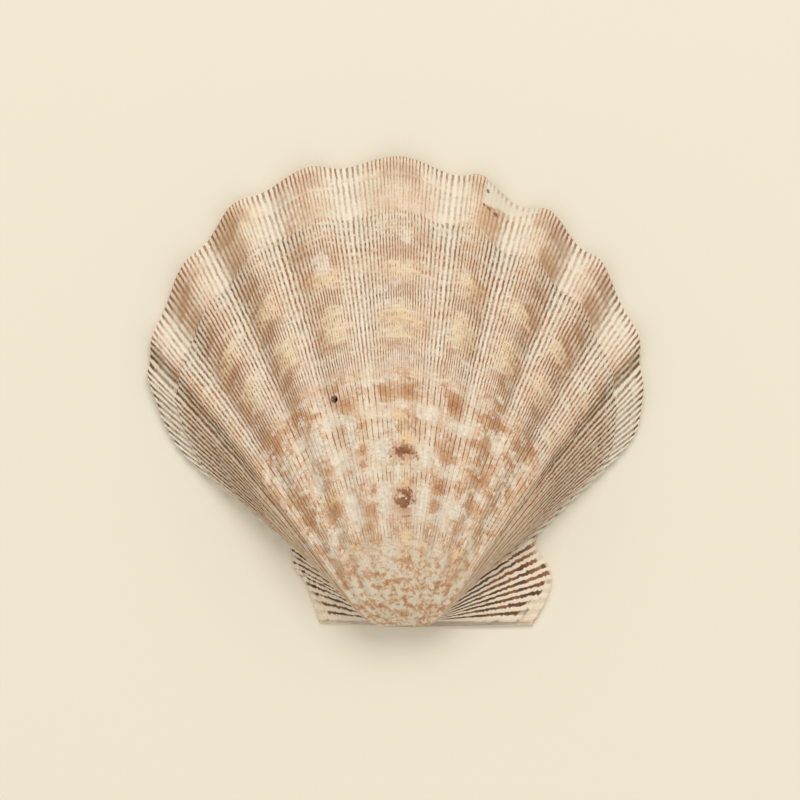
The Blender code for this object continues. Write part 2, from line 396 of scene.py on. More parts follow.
def spall_mask(bench, rib, ratio):
    """1 on the spalled patch at the edge between ribs 1 and 2."""
    ragged = 0.016 * (bench.noise(bench.place(rib, ratio * 9.0), 4.0) - 0.5)
    across = bench.between(rib, *SPALL_RIBS, 0.03)
    return across * bench.smooth(ratio + ragged - SPALL_SLANT * (rib - SPALL_CORNER), *SPALL_START)


# Form of the valve


def spline(points, where):
    """Places on a smooth curve through the points; a whole number is one of the points."""
    points = np.array(points, float)
    last = len(points) - 1
    start = np.clip(np.floor(where).astype(int), 0, last - 1)
    share = (where - start)[:, None]
    before, here, there, after = (points[np.clip(start + offset, 0, last)] for offset in (-1, 0, 1, 2))
    square = share * share
    cube = square * share
    return (
        here * (2.0 * cube - 3.0 * square + 1.0)
        + (there - before) * 0.5 * (cube - 2.0 * square + share)
        + there * (3.0 * square - 2.0 * cube)
        + (after - here) * 0.5 * (cube - square)
    )


def soft_step(value, low, high):
    share = np.clip((value - low) / (high - low), 0.0, 1.0)
    return share * share * (3.0 - 2.0 * share)


def crest(rib):
    """1 on a rib's crest and 0 in a trough; the ribs fade out on the flanks."""
    wave = (0.5 + 0.5 * np.cos(2.0 * math.pi * rib)) ** CREST_POWER
    return wave * (1.0 - soft_step(np.abs(rib), 3.5, 6.0))


def disc_lines():
    """Rib number, place and thread number of every line of the disc, from notch to notch."""
    rib = np.linspace(-LAST_RIB, LAST_RIB, EDGE_SAMPLES)
    place = spline(DISC_EDGE, (rib + LAST_RIB) * 2.0)
    step = np.diff(place, axis=0, prepend=place[:1])
    outward = place / np.linalg.norm(place, axis=1)[:, None]
    advance = np.abs(step[:, 0] * outward[:, 1] - step[:, 1] * outward[:, 0])
    radial = np.abs(step[:, 0] * outward[:, 0] + step[:, 1] * outward[:, 1])
    advance = advance + RADIAL_SHARE * radial * soft_step(np.abs(rib), 5.0, 5.8)
    on_crest = crest(rib)
    on_flank = soft_step(np.abs(rib), 4.0, 5.5)
    crest_pitch = np.interp(np.abs(rib), range(len(CREST_PITCHES)), CREST_PITCHES)
    pitch = TROUGH_PITCH + (crest_pitch - TROUGH_PITCH) * on_crest
    pitch = pitch + (FLANK_PITCH - pitch) * on_flank
    count = np.cumsum(advance / pitch)
    threads = round(count[-1])
    count *= threads / count[-1]
    wanted = np.arange(threads * LINES_PER_THREAD + 1) / LINES_PER_THREAD
    rib_at = np.interp(wanted, count, rib)
    return rib_at, spline(DISC_EDGE, (rib_at + LAST_RIB) * 2.0), wanted


def ear_lines(outline, notch):
    """Places of an ear's lines from the hinge corner to the notch, and stripes left to the notch."""
    points = outline + (notch,)
    where = np.linspace(0.0, len(points) - 1.0, EAR_SAMPLES)
    place = spline(points, where)
    share = (place[:, 1] - place[0, 1]) / (place[-1, 1] - place[0, 1])
    passed = EAR_STRIPES * ((1.0 - EAR_BUNCHING) * share + EAR_BUNCHING * share ** 3)
    wanted = np.linspace(0.0, EAR_STRIPES, EAR_LINES + 1)[:-1]
    return spline(points, np.interp(wanted, passed, where)), EAR_STRIPES - wanted


class Skin:
    """Gathers the lines, points and faces of the closed skin."""

    FACTS = ("rib", "thread", "ear", "pitch", "outer")

    def __init__(self):
        self.lines = []
        self.line_of = []
        self.ratio_of = []
        self.count = 0
        self.faces = []

    def add_lines(self, edge, root, **facts):
        """Lines that grow from root to edge, with what is the same all along each of them."""
        size = len(edge)
        start = sum(len(block["edge"]) for block in self.lines)
        block = {"edge": edge, "root": np.tile(root, (size, 1))}
        block["inset"] = facts.get("inset", np.zeros((size, 3)))
        for name in self.FACTS:
            block[name] = np.broadcast_to(facts.get(name, 0.0), size)
        self.lines.append(block)
        return np.arange(start, start + size)

    def add_points(self, lines, ratios):
        """One row of points for each ratio, on the given lines."""
        grid = self.count + np.arange(len(lines) * len(ratios)).reshape(len(ratios), len(lines))
        self.line_of.append(np.tile(lines, len(ratios)))
        self.ratio_of.append(np.repeat(ratios, len(lines)))
        self.count += grid.size
        return grid

    def fill(self, grid):
        """Quads between neighbouring rows of points."""
        for upper, lower in zip(grid, grid[1:]):
            self.faces += np.stack((upper[:-1], lower[:-1], lower[1:], upper[1:]), axis=1).tolist()

    def fan(self, row, tip):
        self.faces += [(int(a), int(tip), int(b)) for a, b in zip(row, row[1:])]

    def sew(self, upper, lower):
        """Triangles between two rows that may have different numbers of points."""
        i = 0
        j = 0
        while i < len(upper) - 1 or j < len(lower) - 1:
            if (i + 1) * (len(lower) - 1) <= (j + 1) * (len(upper) - 1):
                self.faces.append((int(upper[i]), int(lower[j]), int(upper[i + 1])))
                i += 1
            else:
                self.faces.append((int(upper[i]), int(lower[j]), int(lower[j + 1])))
                j += 1

    def mesh(self, name):
        """The gathered points as a mesh, in metres, with what the node tree and finish read."""
        lines = {key: np.concatenate([block[key] for block in self.lines]) for key in self.lines[0]}
        line_of = np.concatenate(self.line_of)
        mesh = bpy.data.meshes.new(name)
        mesh.from_pydata(lines["edge"][line_of] * MM, [], self.faces)
        for key, values in lines.items():
            vector = values.ndim == 2
            kind = 'FLOAT_VECTOR' if vector else 'FLOAT'
            field = mesh.attributes.new(key, kind, 'POINT')
            values = (values * MM if vector else values)[line_of].astype(np.float32)
            field.data.foreach_set("vector" if vector else "value", values.ravel())
        field = mesh.attributes.new("ratio", 'FLOAT', 'POINT')
        field.data.foreach_set("value", np.concatenate(self.ratio_of).astype(np.float32))
        return mesh


def inward(place):
    """Level directions into the outline that the places follow clockwise."""
    along = np.gradient(place[:, :2], axis=0)
    along /= np.linalg.norm(along, axis=1)[:, None]
    return np.column_stack((along[:, 1], -along[:, 0], np.zeros(len(place))))


def band_ratios(high, low, rows):
    """Ratios of the rows of one band, with a pair of rows at each growth stop."""
    ratios = list(np.linspace(high, low, rows + 1))
    for stop, depth in GROWTH_STOPS:
        if low < stop < high:
            ratios += [stop + gap for gap in STOP_ROWS]
    return np.array(sorted(ratios, reverse=True))


def build_skin(rib_height):
    """The closed skin of the valve, still folded: its points lie on the edge until it is grown."""
    rib, disc, thread = disc_lines()
    left, left_stripe = ear_lines(LEFT_EAR, DISC_EDGE[0])
    right, right_stripe = ear_lines(RIGHT_EAR, DISC_EDGE[-1])
    right = right[::-1]
    right_stripe = right_stripe[::-1]

    plan = np.concatenate((left, disc, right))
    rib = np.concatenate(
        (-LAST_RIB - left_stripe / EAR_STRIPES, rib, LAST_RIB + right_stripe / EAR_STRIPES)
    )
    thread = np.concatenate((-left_stripe, thread, thread[-1] + right_stripe))
    ear = np.concatenate((np.ones(len(left)), np.zeros(len(disc)), np.ones(len(right))))
    rise = crest(rib) * rib_height / MM
    edge = np.column_stack((plan, rise))
    spacing = np.linalg.norm(np.gradient(edge, axis=0), axis=1) / np.abs(np.gradient(thread))
    facts = {"rib": rib, "thread": thread, "ear": ear, "pitch": spacing}

    skin = Skin()
    outer = skin.add_lines(edge, (0.0, 0.0, EDGE_HEIGHT), outer=1.0, **facts)
    bands = []
    for high, low, rows, every in BANDS:
        bands.append(skin.add_points(outer[::every], band_ratios(high, low, rows)))
        skin.fill(bands[-1])
    for upper, lower in zip(bands, bands[1:]):
        skin.sew(upper[-1], lower[0])
    end = skin.add_lines(np.zeros((1, 3)), (0.0, 0.0, EDGE_HEIGHT), outer=1.0)
    tip = skin.add_points(end, [1.0])
    skin.fan(bands[-1][-1], tip[0, 0])

    rim = [bands[0][0]]
    for inset, height, share, shown in RIM_ROWS:
        turned = (edge + inward(edge) * inset) * (1.0, 1.0, share)
        lines = skin.add_lines(turned, (0.0, 0.0, EDGE_HEIGHT * height), outer=shown, **facts)
        rim.append(skin.add_points(lines, [1.0])[0])
    for upper, lower in zip(rim, rim[1:]):
        skin.fill(np.stack((lower, upper)))

    every = LINES_PER_THREAD
    kept = np.flatnonzero(edge[::every, 1] >= PLATE_DEPTH)
    inner = (edge[::every] - (0.0, PLATE_DEPTH, 0.0))[kept]
    inner[:, 2] *= INSIDE_SHARE
    inset = (inward(edge[::every]) * EDGE_INSET)[kept]
    for end in (0, -1):
        inner[end, 1] = 0.0
        inset[end, 1] = 0.0
    inner_facts = {name: values[::every][kept] for name, values in facts.items()}
    lines = skin.add_lines(inner, (0.0, PLATE_DEPTH, 0.0), inset=inset, **inner_facts)
    spaced = np.linspace(1.0, 0.0, HOLLOW_ROWS + 1) ** HOLLOW_CROWDING
    hollow = skin.add_points(lines, HOLLOW_RATIO + (1.0 - HOLLOW_RATIO) * spaced)
    skin.fill(hollow[:, ::-1])
    umbo = skin.add_points(skin.add_lines(np.zeros((1, 3)), (0.0, PLATE_DEPTH, 0.0)), [1.0])
    skin.fan(hollow[-1][::-1], umbo[0, 0])

    add_hinge(skin, bands, rim, hollow, tip[0, 0], umbo[0, 0])
    return skin


def add_hinge(skin, bands, rim, hollow, tip, umbo):
    """The back of the hinge and the flat plate under it, joined to the rest of the skin."""
    where = np.linspace(0.0, len(HINGE_BACK) - 1.0, HINGE_POINTS)
    back = spline(HINGE_BACK, where)
    rows = []
    for height, inset, shown in HINGE_ROWS:
        place = np.column_stack((back[:, 0], back[:, 1] + inset, np.full(len(back), height)))
        lines = skin.add_lines(place, (0.0, 0.0, 0.0), outer=shown, ear=1.0)
        rows.append(skin.add_points(lines, [1.0])[0])
    left = [band[:, 0] for band in bands]
    right = [band[:, -1] for band in bands]
    top = np.concatenate(left + [[tip]] + [column[::-1] for column in right[::-1]])
    front = np.concatenate((hollow[:, 0], [umbo], hollow[::-1, -1]))
    for upper, lower in zip([top] + rows, rows + [front]):
        skin.sew(upper, lower)
    ends = [np.concatenate(([row[0]], turned, [row[-1]])) for row, turned in zip(rows, rim)]
    for side, beside in ((0, 1), (-1, -2)):
        for upper, lower in zip(ends, ends[1:]):
            quad = [int(point) for point in (upper[side], lower[side], lower[beside], upper[beside])]
            skin.faces.append(quad if side else quad[::-1])
    skin.sew(np.concatenate(([rows[-1][0]], hollow[0], [rows[-1][-1]])), ends[-1])


def growth_tree():
    """Node tree that grows the folded skin into the valve."""
    tree = bpy.data.node_groups.new("shell_growth", 'GeometryNodeTree')
    tree.interface.new_socket("Geometry", in_out='INPUT', socket_type='NodeSocketGeometry')
    sizes = (
        "Curl middle", "Curl side", "Early outside", "Early inside", "Last swing",
        "Thread depth", "Thread wander", "Step depth", "Spall depth", "Seed",
    )
    for name in sizes:
        tree.interface.new_socket(name, in_out='INPUT', socket_type='NodeSocketFloat')
    tree.interface.new_socket("Beak", in_out='INPUT', socket_type='NodeSocketVector')
    tree.interface.new_socket("Finish", in_out='INPUT', socket_type='NodeSocketMaterial')
    tree.interface.new_socket("Geometry", in_out='OUTPUT', socket_type='NodeSocketGeometry')
    bench = Bench(tree)
    entry = tree.nodes.new('NodeGroupInput')
    given = {socket.name: Wire(bench, socket) for socket in entry.outputs if socket.name}

    def fact(name, kind='FLOAT'):
        return bench.node('GeometryNodeInputNamedAttribute', {"data_type": kind}, {"Name": name})

    ratio = fact("ratio")
    rib = fact("rib")
    thread = fact("thread")
    ear = fact("ear")
    outer = fact("outer")
    side = bench.smooth(abs(rib), 1.5, 5.5)
    age = bench.math('LOGARITHM', ratio, math.e) * -1.0
    early = given["Early inside"] + (given["Early outside"] - given["Early inside"]) * outer
    curl = given["Curl middle"] + (given["Curl side"] - given["Curl middle"]) * side
    curl = curl + early * side * age
    levelled = (1.0 + (curl * age / given["Last swing"]) ** LEVELLING) ** (1.0 / LEVELLING)
    swing = curl * age / levelled

    periods = given["Seed"]
    for stop, depth in GROWTH_STOPS:
        periods = periods + 7.3 * bench.smooth(ratio, stop - 0.005, stop + 0.005)
    stray = bench.clouds((thread * 0.22, ratio * 16.0, given["Seed"]), 3.0, 0.6) - 0.5
    jog = bench.clouds((thread * 0.35, periods), 1.0) - 0.5
    wavy = bench.clouds((thread * 0.5, ratio * 30.0, given["Seed"]), 1.0) - 0.5
    shift = given["Thread wander"] * (stray + 0.6 * jog + 1.2 * ear * wavy) * outer
    edge = fact("edge", 'FLOAT_VECTOR')
    reach = bench.node('ShaderNodeVectorMath', {"operation": 'LENGTH'}, {0: edge}, output=1)
    strayed = bench.turn('Z_AXIS', edge, shift / bench.most(reach, 0.012))
    inset = bench.scale(fact("inset", 'FLOAT_VECTOR'), bench.math('SQRT', ratio))
    section = bench.vector('ADD', bench.scale(strayed, ratio), inset)
    place = bench.vector('ADD', bench.turn('X_AXIS', section, swing), fact("root", 'FLOAT_VECTOR'))
    place = bench.vector('ADD', place, given["Beak"])
    moved = {"Geometry": given["Geometry"], "Position": place}
    grown = bench.node('GeometryNodeSetPosition', None, moved)

    groove = groove_wave(bench, thread, bench.most(ratio, ear))
    depth = given["Thread depth"] * fact("pitch") * ratio * MM * groove * (1.0 - 0.5 * ear)
    ragged = ratio + 0.006 * (bench.clouds((rib * 2.5, given["Seed"]), 3.0) - 0.5)
    for stop, drop in GROWTH_STOPS:
        past = bench.smooth(ragged, stop - 0.002, stop + 0.003)
        fade = bench.math('EXPONENT', (stop - ragged) / STEP_FADE)
        depth = depth + given["Step depth"] * (drop * MM) * past * fade * ratio
    spall = spall_mask(bench, rib, ratio)
    depth = depth * (1.0 - spall) + given["Spall depth"] * spall
    lumps = bench.clouds((rib * 3.0, ratio * 22.0, given["Seed"]), 3.0, 0.6)
    depth = depth + (LUMP_DEPTH * MM) * lumps * ratio
    offset = bench.scale(bench.node('GeometryNodeInputNormal'), depth * outer * -1.0)
    carved = bench.node('GeometryNodeSetPosition', None, {"Geometry": grown, "Offset": offset})
    whole = bench.node('GeometryNodeRealizeInstances', None, {"Geometry": carved})
    painted = {"Geometry": whole, "Material": given["Finish"]}
    dressed = bench.node('GeometryNodeSetMaterial', None, painted)
    leave = tree.nodes.new('NodeGroupOutput')
    tree.links.new(dressed.socket, leave.inputs["Geometry"])
    return tree


# Finish of the valve


class Spot:
    """Where a point of the outside lies, as the fields that its finish is worked out from."""

    def __init__(self, bench):
        grain = bench.node('ShaderNodeTexCoord', output=3)
        rib = self.rib = bench.attribute("rib")
        ratio = self.ratio = bench.attribute("ratio")
        self.thread = bench.attribute("thread")
        self.ear = bench.smooth(bench.attribute("ear"), 0.0, 1.0)
        self.side = abs(rib)
        self.flank = bench.smooth(self.side, 3.4, 4.8)
        self.crest = bench.wave(rib) * (1.0 - self.flank)
        # Outer sides of the ribs, which face away from the lamp; the finish lays painted shade there
        turned_out = bench.wave(self.side - 0.24) * bench.smooth(self.side, 0.7, 1.6)
        self.shade = turned_out * (1.0 - bench.smooth(self.side, 4.4, 5.0))
        self.fine = bench.noise(grain, 1500.0, 3.0, 0.7)
        self.mottle = bench.noise(grain, 800.0, 3.0, 0.65)
        self.clump = bench.noise(grain, 420.0, 3.0, 0.6)
        self.cloud = bench.noise(bench.place(rib, ratio * 9.0), 1.3, 3.0, 0.6)
        self.speckle = bench.clouds((rib * 2.4, ratio * 34.0, 7.0), 3.0, 0.65)
        self.fleck = bench.clouds((rib * 5.0, ratio * 60.0, 2.0), 3.0, 0.7)
        line = bench.math('ROUND', self.thread - 0.5)
        self.streak = bench.clouds((line * 0.731, ratio * 12.0), 2.0, 0.7)
        beads = bench.clouds((line * 3.17, ratio * 100.0), 2.0, 0.6)
        rows = bench.clouds((rib * 0.9, ratio * 150.0, 3.0), 2.0, 0.6)
        self.dash = 0.55 * beads + 0.45 * rows
        frayed = bench.clouds((line * 1.9, ratio * 70.0, 8.0), 2.0, 0.6) - 0.5
        self.frayed_thread = self.thread + 0.5 * frayed
        warp = bench.clouds((rib * 1.1, ratio * 5.0, 3.0), 2.0) - 0.5
        ragged = bench.clouds((rib * 6.0, ratio * 30.0, 5.0), 3.0, 0.7) - 0.5
        aside = bench.clouds((rib * 4.0, ratio * 45.0, 9.0), 3.0, 0.7) - 0.5
        self.warped_rib = rib + 0.34 * aside
        self.warped = ratio + 0.03 * ragged + 0.02 * warp
        stops_passed = bench.math('LOGARITHM', (ratio + 0.022 * ragged) / FIRST_STOP, math.e)
        course = stops_passed * -BANDS_PER_AGE + 0.9 * warp
        self.band = bench.math('FLOOR', course)
        self.in_band = bench.math('FRACT', course)
        rib_index = bench.math('ROUND', self.warped_rib)
        self.from_crest = self.warped_rib - rib_index
        self.luck = bench.clouds((rib_index * 3.7, ratio * 9.0, 4.0), 1.0)
        self.ragged_crest = bench.wave(self.warped_rib) * (1.0 - self.flank)

    def cell(self, bench, step, salt):
        """Random value from 0 to 1 for each growth band of each rib, or of each trough."""
        index = bench.math('ROUND', self.warped_rib + step)
        values = {"Vector": bench.place(index, self.band, salt)}
        return bench.node('ShaderNodeTexWhiteNoise', None, values)

    def rows(self, bench, places):
        """1 on the growth rows whose middle and half width are given."""
        total = 0.0
        for middle, half in places:
            off = abs(self.warped - middle)
            total = (1.0 - bench.smooth(off, half * 0.7, half * 1.25)) + total
        return total

    def away(self, bench, places):
        """Ragged distance from spots given by rib, ratio and half sizes; 1 at their edges."""
        here = bench.place(self.rib, self.ratio)
        nearest = 9.0
        for rib, ratio, wide, high in places:
            away = bench.vector('SUBTRACT', here, (rib, ratio, 0.0))
            away = bench.vector('DIVIDE', away, (wide, high, 1.0))
            off = bench.node('ShaderNodeVectorMath', {"operation": 'LENGTH'}, {0: away}, output=1)
            nearest = bench.math('MINIMUM', off, nearest)
        return nearest + 2.2 * (self.fleck - 0.5) + 1.3 * (self.fine - 0.5)

    def marks(self, bench, places):
        """1 on the given spots."""
        return 1.0 - bench.smooth(self.away(bench, places), 0.45, 1.2)


def outside_colour(bench, tones, spot):
    """Threads, grooves, patches and worn places of the outside, with the height of its grooves."""
    blend = bench.blend
    smooth = bench.smooth
    ratio = spot.ratio
    middle = 1.0 - smooth(spot.side, 2.4, 3.4)
    old = smooth(0.6 - ratio, -0.03, 0.06)
    margin = smooth(ratio, 0.965, 0.99)
    newest = smooth(spot.warped, 0.884, 0.892)
    frayed = 0.6 * (spot.fleck - 0.5)

    # Threads, cream or warmer
    rosy = 0.4 * spot.cloud + 0.3 * spot.streak + 0.3 * spot.speckle + 0.1 * spot.crest
    rosy = rosy + spot.flank * (0.2 * smooth(0.98 - ratio, 0.0, 0.12) - 0.08)
    rosy = rosy - newest * (0.08 - 0.05 * spot.crest) + 0.08 * old
    ground = blend(smooth(rosy, 0.42, 0.68), tones["cream"], tones["rose"])

    # Tan, pale yellow and dashed patches of the ribs
    outward = bench.math('SIGN', spot.rib) * spot.from_crest
    on_rib = 1.0 - smooth(abs(outward - 0.07), 0.2, 0.36)
    warm = smooth(spot.cell(bench, 0.0, 1.0) + 0.25 * old, 0.3, 0.7) * smooth(spot.in_band, 0.1, 0.8)
    warm = warm * on_rib * smooth(spot.cloud + 1.5 * frayed, 0.38, 0.6) * (1.0 - 0.35 * newest)
    off_side = smooth(abs(outward - 0.2) + 0.2 * (spot.cloud - 0.5), 0.08, 0.26)
    tanned = spot.rows(bench, TAN_ROWS) * (1.0 - off_side) * smooth(spot.luck + frayed, 0.3, 0.55)
    tanned = tanned * (0.35 + 0.65 * smooth(spot.side, 0.4, 0.9))
    warm = bench.most(0.8 * warm, tanned) * (1.0 - spot.flank)
    tint = spot.cell(bench, 0.0, 2.0) + 0.6 * (spot.in_band - 0.5) + 1.4 * (outward - 0.05) + frayed
    tint = blend(smooth(tint, 0.3, 0.9), tones["tan"], tones["amber"])
    ground = blend(warm * 0.7, ground, tint)
    top = 0.06 * smooth(spot.side, 0.5, 1.5)
    near_crest = 1.0 - smooth(abs(outward - top) + 1.5 * frayed, 0.05, 0.34)
    honey = spot.rows(bench, HONEY_ROWS) * near_crest * smooth(spot.luck + frayed, 0.2, 0.4)
    honey = honey * (1.0 - spot.flank)
    mottling = 3.0 * (spot.mottle - 0.5) + 2.2 * (spot.fine - 0.5)
    honey_spots = 1.0 - smooth(spot.away(bench, HONEY_PLACES) + mottling, 0.3, 1.4)
    honey = bench.most(honey, honey_spots)
    spots = blend(smooth(spot.clump + frayed, 0.52, 0.74) * 0.5, tones["honey"], tones["amber"])
    ground = blend(honey * 0.76, ground, spots)
    dashed = spot.rows(bench, DASH_ROWS) * smooth(spot.crest + 0.8 * (spot.cloud - 0.5), 0.4, 0.9)
    dashed = dashed * (1.0 - honey) * smooth(spot.speckle + spot.luck, 0.6, 1.0)
    by_margin = 1.0 - smooth(abs(spot.warped - 0.968), 0.01, 0.022)
    by_margin = by_margin * smooth(spot.crest + frayed, 0.5, 0.9)
    dashed = bench.most(dashed, by_margin)
    ground = blend(dashed * (0.1 + 0.12 * spot.crest), ground, tones["groove_red"])
    clear = spot.rows(bench, CLEAR_ROWS) * (0.2 + 0.8 * spot.ragged_crest) * (1.0 - 0.7 * spot.flank)
    ground = blend(clear * 0.45, ground, tones["chalk"])

    # Brown on the outer sides of the ribs, partly the shell's own tint and partly painted shade of
    # sides that face away from the lamp, and painted shade on the lower flanks
    smear = smooth(spot.shade + 0.9 * (spot.cloud - 0.5) + 0.5 * (spot.fleck - 0.5), 0.55, 0.95)
    smear = smear * (0.25 + 0.4 * smooth(spot.in_band, 0.2, 0.9)) * smooth(ratio, 0.2, 0.4)
    smear = smear * (1.0 - honey)
    # Painted shade: the flanks darken towards the beak
    low_flank = smooth(0.95 - ratio + 0.3 * (spot.cloud - 0.5), 0.0, 0.3)
    smear = bench.most(smear, (0.02 + 0.44 * low_flank) * spot.flank)
    ground = blend(smear, ground, tones["smear"])

    # Stains, rust and worn places of the older part
    bare_row = spot.rows(bench, BARE_ROWS)
    rusty = spot.away(bench, RUST_PLACES)
    rust = 1.0 - smooth(rusty + mottling, 0.5, 1.4)
    aside = smooth(spot.side, 1.3, 2.2) * (1.0 - smooth(spot.side, 4.0, 5.0))
    flecks = smooth(spot.speckle + 1.5 * frayed + 0.07 * aside, 0.44, 0.57) * old
    on_ribs = 0.3 + 0.7 * bench.most(smooth(spot.ragged_crest, 0.1, 0.6), aside)
    flecks = flecks * on_ribs * (1.0 - 0.6 * bare_row * (1.0 - aside))
    stain = bench.most(flecks, 0.7 - 0.7 * smooth(rusty, 0.9, 1.7))
    patches = 1.0 - smooth(spot.away(bench, AMBER_PLACES) + mottling, 0.6, 1.25)
    trough = 1.0 - smooth(spot.ragged_crest + 0.4 * (spot.fleck - 0.5), 0.25, 0.7)
    some = smooth(spot.cell(bench, 0.5, 4.0) + 0.5 * (spot.cloud - 0.5), 0.1, 0.4)
    bare = bare_row * trough * middle * some
    chips = bench.clouds((spot.rib * 2.2, ratio * 26.0, 5.0)) - 0.5
    worn = smooth(spot.fleck + 0.7 * chips + 0.06 * aside * old, 0.53, 0.66)
    worn = worn * (1.0 - smooth(ratio, 0.8, 0.87)) * (1.0 - 0.5 * spot.flank) * (0.5 + 0.5 * old)
    worn = bench.most(worn, spot.marks(bench, WORN_PLACES))
    bare = bench.most(bare, worn) * (1.0 - rust) * (1.0 - 0.8 * patches)
    stained = blend(smooth(spot.clump + frayed, 0.35, 0.6), tones["tan"], tones["amber"])
    stained = blend(smooth(spot.mottle + frayed, 0.48, 0.64) * 0.85, stained, tones["brick"])
    ground = blend(stain * 0.8, ground, stained)
    patched = smooth(0.6 * spot.mottle + 0.4 * spot.fine + frayed, 0.42, 0.56)
    patched = blend(patched, tones["amber"], tones["brick"])
    ground = blend(patches * 0.8, ground, patched)
    ground = blend(honey_spots * 0.75, ground, tones["yolk"])
    core = smooth(rust + 1.6 * (spot.mottle - 0.5) + 1.2 * (spot.fine - 0.5), 0.35, 1.0)
    ground = blend(rust * (0.68 + 0.24 * core), ground, blend(core, tones["brick"], tones["rust"]))
    chalk = blend(smooth(spot.mottle, 0.4, 0.6), tones["chalk"], tones["cream"])
    pitted = smooth(spot.mottle + 0.4 * (spot.fine - 0.5), 0.56, 0.66)
    chalk = blend(pitted * 0.35, chalk, tones["beak"])
    ground = blend(bare * (0.5 + 0.5 * smooth(spot.mottle, 0.3, 0.6)), ground, chalk)

    # Dark grooves, each broken in its own way
    groove = groove_wave(bench, spot.frayed_thread, bench.most(ratio, spot.ear))
    inner_ledge = bench.between(spot.warped, 0.853, 0.884, 0.005)
    # The flanks and the outer sides of the ribs get wider lines: painted shade
    width = 0.5 - 0.06 * spot.flank - 0.08 * spot.shade + 0.06 * inner_ledge + 0.04 * newest
    width = width + 0.4 * (spot.streak - 0.5) + 0.9 * (spot.dash - 0.5) * (1.0 - 0.4 * newest)
    line = smooth(groove, width - 0.22, width + 0.34)
    # by_shade is painted shade: stronger lines on the flanks and the outer sides of the ribs, weaker on
    # the crests of the middle ribs
    by_shade = 0.14 * spot.flank + 0.25 * spot.shade - 0.16 * spot.crest * middle
    by_growth = -0.25 * (spot.in_band - 0.3) - 0.3 * newest + 0.35 * margin + 0.28 * clear
    by_spot = 0.22 * dashed + 0.14 * spot.crest * (1.0 - old) + 0.12 * spot.flank
    by_spot = by_spot - 0.45 * honey + 0.2 * bench.most(stain, patches) * old
    by_row = old * (0.8 * spot.rows(bench, THREAD_ROWS) - 0.36) * middle
    beaded = (3.0 + 2.2 * spot.crest) * (1.0 - 0.55 * newest)
    by_line = 1.0 * (spot.streak - 0.5) + beaded * (spot.dash - 0.5)
    strength = 0.7 - 0.1 * inner_ledge + by_shade + by_growth + by_spot + by_row + by_line
    strength = bench.math('MINIMUM', bench.most(strength, 0.06), 1.0)
    faded = 1.0 - (1.0 - smooth(ratio + 0.12 * (spot.cloud - 0.5), 0.2, 0.32)) * middle
    line = line * strength * faded * smooth(ratio, 0.06, 0.12) * (1.0 - 0.65 * bare)
    red = 0.4 * spot.crest + 0.9 * (spot.streak - 0.5) + 0.9 * (spot.cloud - 0.5) + 0.46
    red = red - 0.55 * spot.flank - 0.35 * inner_ledge
    red = red + 0.5 * dashed + 0.5 * old * middle - 0.25 * clear + 0.5 * rust
    ink = blend(smooth(red, 0.1, 0.7), tones["groove"], tones["groove_red"])
    ground = blend(inner_ledge * 0.5 * (1.0 - 0.5 * spot.crest), ground, tones["chalk"])
    grainy = 0.36 * smooth(spot.fine, 0.48, 0.7) * (1.0 - 0.5 * newest)
    ground = blend(grainy, ground, tones["smear"])
    lit = blend(line, ground, ink)

    # Worn umbo, spalled patch and ears
    by_beak = 1.0 - smooth(ratio + 0.14 * (spot.fleck - 0.5), 0.18, 0.34)
    by_beak = by_beak * (1.0 - smooth(spot.side, 3.6, 4.6))
    clump = 0.5 * spot.mottle + 0.5 * spot.clump
    beak = blend(smooth(clump + 0.5 * (spot.fine - 0.5), 0.46, 0.58), tones["beak"], tones["amber"])
    beak = blend(smooth(clump + 0.5 * (spot.fleck - 0.5), 0.53, 0.63) * 0.9, beak, tones["brick"])
    beak = blend(smooth(clump + 0.5 * (spot.fine - 0.5), 0.48, 0.42), beak, tones["chalk"])
    beak = blend(0.5 * smooth(spot.fine, 0.52, 0.64), beak, tones["smear"])
    lit = blend(by_beak * 0.85, lit, beak)
    spall = spall_mask(bench, spot.rib, ratio) * (1.0 - 0.5 * line * smooth(ratio, 0.985, 0.992))
    pitted = blend(smooth(spot.mottle, 0.45, 0.65) * 0.35, tones["chalk"], tones["beak"])
    lit = blend(spall * 0.9, lit, pitted)
    # Painted shade of the small pits
    pit_shadows = spot.marks(bench, PIT_SHADOWS)
    lit = blend(pit_shadows * 0.85, lit, tones["groove"])
    return blend(spot.ear, lit, ear_colour(bench, tones, spot, groove)), line


def ear_colour(bench, tones, spot, groove):
    """Dark broken stripes on the pale ears; the newest edge is bare."""
    smooth = bench.smooth
    wider_on_large = 0.08 * bench.math('SIGN', spot.rib)
    width = 0.6 - wider_on_large
    width = width + 0.7 * (spot.dash - 0.5) + 1.2 * (spot.streak - 0.5)
    stripe = smooth(groove, width - 0.16, width + 0.18)
    by_corner = smooth(spot.side, LAST_RIB + 0.62, LAST_RIB + 0.95)
    older = 1.0 - smooth(spot.ratio + 0.25 * (spot.streak - 0.5) + 0.14 * by_corner, 0.94, 1.0)
    older = older * (1.0 - smooth(spot.side, LAST_RIB + 0.9, LAST_RIB + 0.96))
    ground = bench.blend(smooth(spot.mottle, 0.54, 0.74), tones["ear"], tones["rose"])
    ink = bench.blend(smooth(spot.clump, 0.44, 0.62) * 0.8, tones["stripe"], tones["groove_red"])
    return bench.blend(stripe * smooth(spot.ratio, 0.1, 0.3) * (0.15 + 0.85 * older), ground, ink)


